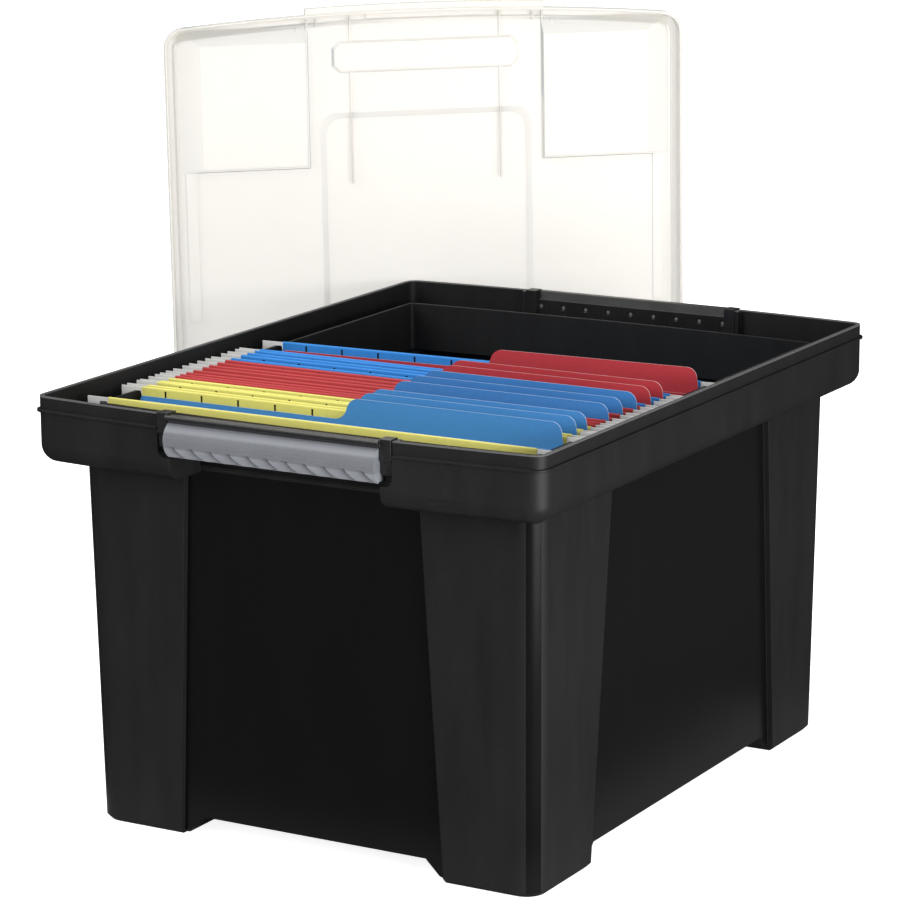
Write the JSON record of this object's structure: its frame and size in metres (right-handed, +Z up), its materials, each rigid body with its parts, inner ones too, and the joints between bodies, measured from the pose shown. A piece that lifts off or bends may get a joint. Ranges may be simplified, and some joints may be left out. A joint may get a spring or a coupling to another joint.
{
  "type": "portable file box",
  "caption": "Portable file box with a drafted tub, a hanging-file rail, locking end handles, a loose translucent lid and coloured hanging folders.",
  "frame": {"origin": "on the floor, under the middle of the bounding box of the whole set (tub with its folders, and the lid standing behind it); the tub's own middle is at x 69.4 mm, y -64.35 mm", "axes": "+Z up; Y along the box's long sides, from the front handle (-Y) to the rear handle; X across the handle ends"},
  "size_m": [0.495, 0.6098, 0.4752],
  "materials": {
    "tub_plastic": "fine texture",
    "handle_plastic": "satin",
    "grip_rubber": "matte",
    "lid_plastic": "translucent",
    "yellow_sling": "matte",
    "red_sling": "matte",
    "blue_sling": "matte",
    "rod_metal": "satin white",
    "light_blue_card": "matte",
    "blue_card": "matte",
    "dark_red_card": "matte"
  },
  "bodies": {
    "tub": {"tub": "tub_plastic"},
    "lid": {"lid": "lid_plastic"},
    "front_handle": {"front_handle_frame": "handle_plastic", "front_handle_grip": "grip_rubber"},
    "rear_handle": {"rear_handle_frame": "handle_plastic", "rear_handle_grip": "grip_rubber"},
    "yellow_folders": {"hanging_folder_yellow_1": "yellow_sling", "rod_front_yellow_1": "rod_metal", "rod_back_yellow_1": "rod_metal", "file_folder_yellow_1": "light_blue_card", "hanging_folder_yellow_2": "yellow_sling", "rod_front_yellow_2": "rod_metal", "rod_back_yellow_2": "rod_metal", "file_folder_yellow_2": "light_blue_card", "hanging_folder_yellow_3": "yellow_sling", "rod_front_yellow_3": "rod_metal", "rod_back_yellow_3": "rod_metal", "file_folder_yellow_3": "light_blue_card"},
    "red_folders": {"hanging_folder_red_1": "red_sling", "rod_front_red_1": "rod_metal", "rod_back_red_1": "rod_metal", "hanging_folder_red_2": "red_sling", "rod_front_red_2": "rod_metal", "rod_back_red_2": "rod_metal", "file_folder_red_2": "blue_card", "hanging_folder_red_3": "red_sling", "rod_front_red_3": "rod_metal", "rod_back_red_3": "rod_metal", "file_folder_red_3": "blue_card", "hanging_folder_red_4": "red_sling", "rod_front_red_4": "rod_metal", "rod_back_red_4": "rod_metal", "file_folder_red_4": "blue_card"},
    "blue_folders": {"hanging_folder_blue_1": "blue_sling", "rod_front_blue_1": "rod_metal", "rod_back_blue_1": "rod_metal", "file_folder_blue_1": "dark_red_card", "hanging_folder_blue_2": "blue_sling", "rod_front_blue_2": "rod_metal", "rod_back_blue_2": "rod_metal", "file_folder_blue_2": "dark_red_card", "hanging_folder_blue_3": "blue_sling", "rod_front_blue_3": "rod_metal", "rod_back_blue_3": "rod_metal", "file_folder_blue_3": "dark_red_card"}
  },
  "joints": [
    {"name": "lid_lift", "type": "slide", "parent": "tub", "child": "lid", "axis": [0, 0, 1], "range_m": [0, 0.25]},
    {"name": "front_handle_hinge", "type": "hinge", "parent": "tub", "child": "front_handle", "pos_m": [0.0694, -0.29335, 0.2585], "axis": [1, 0, 0], "range_deg": [0, 80]},
    {"name": "rear_handle_hinge", "type": "hinge", "parent": "tub", "child": "rear_handle", "pos_m": [0.0694, 0.16465, 0.2585], "axis": [-1, 0, 0], "range_deg": [0, 80]},
    {"name": "yellow_slide", "type": "slide", "parent": "tub", "child": "yellow_folders", "axis": [0, 1, 0], "range_m": [0, 0.0026]},
    {"name": "red_slide", "type": "slide", "parent": "tub", "child": "red_folders", "axis": [0, 1, 0], "range_m": [-0.0024, 0.0022]},
    {"name": "blue_slide", "type": "slide", "parent": "tub", "child": "blue_folders", "axis": [0, 1, 0], "range_m": [-0.0022, 0.15]}
  ]
}
